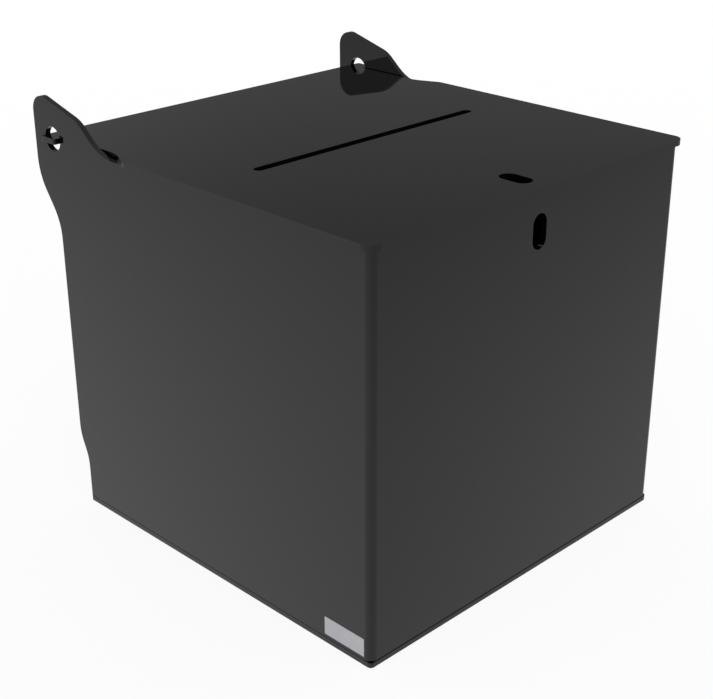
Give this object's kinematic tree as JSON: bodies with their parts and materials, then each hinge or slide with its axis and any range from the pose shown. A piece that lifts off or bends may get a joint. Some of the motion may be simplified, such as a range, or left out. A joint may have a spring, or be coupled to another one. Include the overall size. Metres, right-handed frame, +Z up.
{
  "type": "donation box",
  "caption": "Square gloss black donation box with a money slot in its lift-up lid, which turns on tabs in raised rear ears, and padlock slots in the lid and the front wall.",
  "frame": {"origin": "middle of the base plate's resting face", "axes": "+X to the right along the front wall, +Y from the front wall to the back, +Z up"},
  "size_m": [0.3084, 0.3327, 0.311],
  "materials": {
    "base_plate": "polished",
    "body_shell": "polished",
    "rear_panel": "polished",
    "lid": "polished"
  },
  "bodies": {
    "box": {"base_plate": "base_plate", "body_shell": "body_shell", "rear_panel": "rear_panel"},
    "lid": {"lid": "lid"}
  },
  "joints": [
    {"name": "lid_hinge", "type": "hinge", "parent": "box", "child": "lid", "pos_m": [0, 0.15851, 0.28275], "axis": [-1, 0, 0], "range_deg": [0, 240]}
  ]
}
